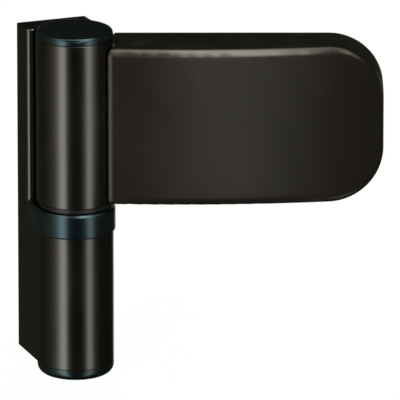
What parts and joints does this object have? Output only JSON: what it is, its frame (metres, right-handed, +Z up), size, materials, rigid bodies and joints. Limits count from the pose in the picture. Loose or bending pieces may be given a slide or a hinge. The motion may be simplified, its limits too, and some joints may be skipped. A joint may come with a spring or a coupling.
{
  "type": "surface-mounted door hinge",
  "caption": "Dark bronze surface-mounted door hinge with a barrelled frame leaf, a flag-shaped sash leaf under a crowned cover, plastic collar and end caps, and built-in adjusters.",
  "frame": {"origin": "on the frame leaf's mounting face, straight behind the hinge axis and at half the leaf's height", "axes": "+Z up along the hinge axis, +Y out of the frame leaf's mounting face into the door frame, +X towards the door"},
  "size_m": [0.1067, 0.0543, 0.1114],
  "materials": {
    "bronze_aluminium": "satin, anodised dark bronze",
    "black_plastic": "satin blue-black",
    "bush_plastic": "plain moulded black",
    "steel": "ground",
    "zinc_steel": "bright zinc plated",
    "spring_steel": "rolled"
  },
  "bodies": {
    "frame": {"frame_leaf": "bronze_aluminium", "bearing_collar": "black_plastic", "frame_bush": "bush_plastic", "pin_stop_screw": "steel", "threaded_insert": "steel", "bottom_cap": "black_plastic"},
    "pin": {"hinge_pin": "steel", "thrust_ball": "steel"},
    "height_adjuster": {"height_screw": "steel"},
    "sash": {"sash_leaf": "bronze_aluminium", "lower_sash_bush": "bush_plastic", "upper_sash_bush": "bush_plastic", "thrust_disc": "steel", "load_plug": "steel", "top_cap": "black_plastic", "cover_cap": "bronze_aluminium", "cover_clips": "spring_steel", "clip_screws": "zinc_steel"},
    "plate": {"fixing_plate": "zinc_steel", "clamp_screws": "zinc_steel", "clamp_washers": "zinc_steel"},
    "side_adjuster": {"side_spindle": "steel", "spindle_ring": "spring_steel"}
  },
  "joints": [
    {"name": "pin_lift", "type": "slide", "parent": "frame", "child": "pin", "axis": [0, 0, 1], "range_m": [0, 0.004]},
    {"name": "door_swing", "type": "hinge", "parent": "pin", "child": "sash", "pos_m": [0, -0.02, 0], "axis": [0, 0, -1], "range_deg": [-20, 160]},
    {"name": "height_turn", "type": "hinge", "parent": "pin", "child": "height_adjuster", "pos_m": [0, -0.02, -0.04], "axis": [0, 0, 1], "range_deg": [0, 960]},
    {"name": "side_slide", "type": "slide", "parent": "sash", "child": "plate", "axis": [0.9397, -0.342, 0], "range_m": [-0.003, 0.003]},
    {"name": "side_turn", "type": "hinge", "parent": "sash", "child": "side_adjuster", "pos_m": [0.05665, -0.03977, 0.0251], "axis": [0.9397, -0.342, 0], "range_deg": [-1350, 1350]}
  ],
  "couplings": [
    {"joint": "height_turn", "follows": "pin_lift", "rad_per_m": 4188.8},
    {"joint": "side_turn", "follows": "side_slide", "rad_per_m": 7854}
  ]
}
